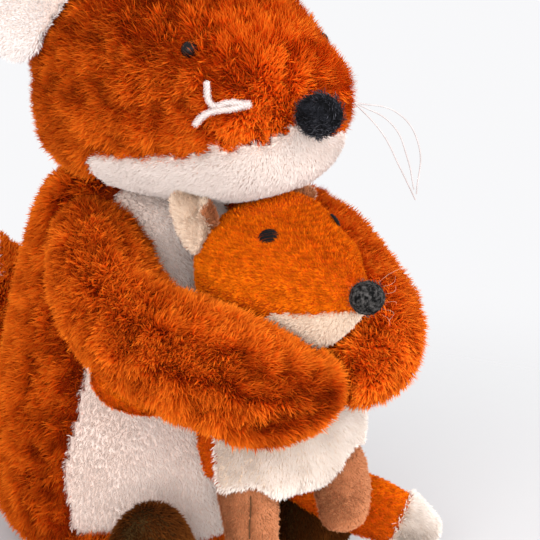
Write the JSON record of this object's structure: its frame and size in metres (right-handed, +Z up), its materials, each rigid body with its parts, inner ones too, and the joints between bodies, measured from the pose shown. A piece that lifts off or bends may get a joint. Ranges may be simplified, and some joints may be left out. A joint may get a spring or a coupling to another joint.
{
  "type": "plush fox with cub",
  "caption": "Seated plush mother fox with long orange fur and a white front, hugging a smaller short-pile fox cub between her arms.",
  "frame": {"origin": "on the floor under the middle of the toy's bounding box", "axes": "+Z up, the mother faces -Y, her right side is -X"},
  "size_m": [0.188, 0.274, 0.2569],
  "materials": {
    "fur_orange": "long soft pile",
    "plush_white": "medium soft pile",
    "plush_brown": "short dense pile",
    "velour_orange": "short velour",
    "velour_cream": "short velour",
    "velour_taupe": "short velour",
    "felt_black": "felted",
    "felt_grey": "felted",
    "bead_black": "gloss",
    "stitch_black": "satin stitch",
    "washer_plastic": "matte",
    "stuffing_white": "loose fibre",
    "pellet_cloth": "plain weave",
    "yarn_white": "soft yarn"
  },
  "bodies": {
    "seat": {"mother_torso": "fur_orange", "mother_belly": "plush_white", "mother_torso_filling": "stuffing_white", "mother_pellet_bag": "pellet_cloth", "cub_head": "velour_orange", "cub_chin": "velour_cream", "cub_nose": "felt_grey", "cub_eye_right": "stitch_black", "cub_eye_left": "stitch_black", "cub_ear_right": "velour_taupe", "cub_ear_left": "velour_taupe", "cub_ear_lining_right": "velour_cream", "cub_ear_lining_left": "velour_cream", "cub_torso": "velour_orange", "cub_belly": "velour_cream"},
    "head": {"mother_head": "fur_orange", "mother_jaw": "plush_white", "mother_head_filling": "stuffing_white", "mother_nose": "felt_black", "mother_eye_right": "bead_black", "mother_eye_left": "bead_black", "mother_eye_washer_right": "washer_plastic", "mother_eye_washer_left": "washer_plastic", "mother_ear_right": "plush_brown", "mother_ear_left": "plush_brown", "mother_ear_lining_right": "plush_white", "mother_ear_lining_left": "plush_white", "mother_whiskers_right": "yarn_white", "mother_whiskers_left": "yarn_white"},
    "arm_right": {"mother_arm_right": "fur_orange", "mother_arm_lining_right": "velour_orange"},
    "arm_left": {"mother_arm_left": "fur_orange", "mother_arm_lining_left": "velour_orange"},
    "leg_right": {"mother_leg_right": "fur_orange", "mother_foot_right": "plush_brown"},
    "leg_left": {"mother_leg_left": "fur_orange", "mother_foot_left": "plush_brown"},
    "tail": {"mother_tail": "fur_orange", "mother_tail_tip": "plush_white"},
    "cub_leg_right": {"cub_leg_right": "velour_taupe"},
    "cub_leg_left": {"cub_leg_left": "velour_taupe"},
    "cub_tail": {"cub_tail": "velour_orange", "cub_tail_tip": "velour_cream"}
  },
  "joints": [
    {"name": "head_nod", "type": "hinge", "parent": "seat", "child": "head", "pos_m": [0, 0.007, 0.15], "axis": [-1, 0, 0], "range_deg": [0, 15]},
    {"name": "arm_right_open", "type": "hinge", "parent": "seat", "child": "arm_right", "pos_m": [-0.03784, -0.01664, 0.13], "axis": [0, 0, -1], "range_deg": [0, 30]},
    {"name": "arm_left_open", "type": "hinge", "parent": "seat", "child": "arm_left", "pos_m": [0.03784, -0.01664, 0.13], "axis": [0, 0, 1], "range_deg": [0, 30]},
    {"name": "leg_right_splay", "type": "hinge", "parent": "seat", "child": "leg_right", "pos_m": [-0.038, -0.023, 0.011], "axis": [0, 0, -1], "range_deg": [0, 18]},
    {"name": "leg_left_splay", "type": "hinge", "parent": "seat", "child": "leg_left", "pos_m": [0.038, -0.023, 0.011], "axis": [0, 0, 1], "range_deg": [0, 18]},
    {"name": "tail_swing", "type": "hinge", "parent": "seat", "child": "tail", "pos_m": [0, 0.06528, 0.036], "axis": [0, 0, 1], "range_deg": [-12, 12]},
    {"name": "cub_leg_right_swing", "type": "hinge", "parent": "seat", "child": "cub_leg_right", "pos_m": [-0.00912, -0.07524, 0.04396], "axis": [1, 0, 0], "range_deg": [-14, 4]},
    {"name": "cub_leg_left_swing", "type": "hinge", "parent": "seat", "child": "cub_leg_left", "pos_m": [0.02588, -0.08661, 0.04783], "axis": [1, 0, 0], "range_deg": [-14, 4]},
    {"name": "cub_tail_swing", "type": "hinge", "parent": "seat", "child": "cub_tail", "pos_m": [0.01128, -0.063, 0.04643], "axis": [0, 0, 1], "range_deg": [-5, 5]}
  ]
}
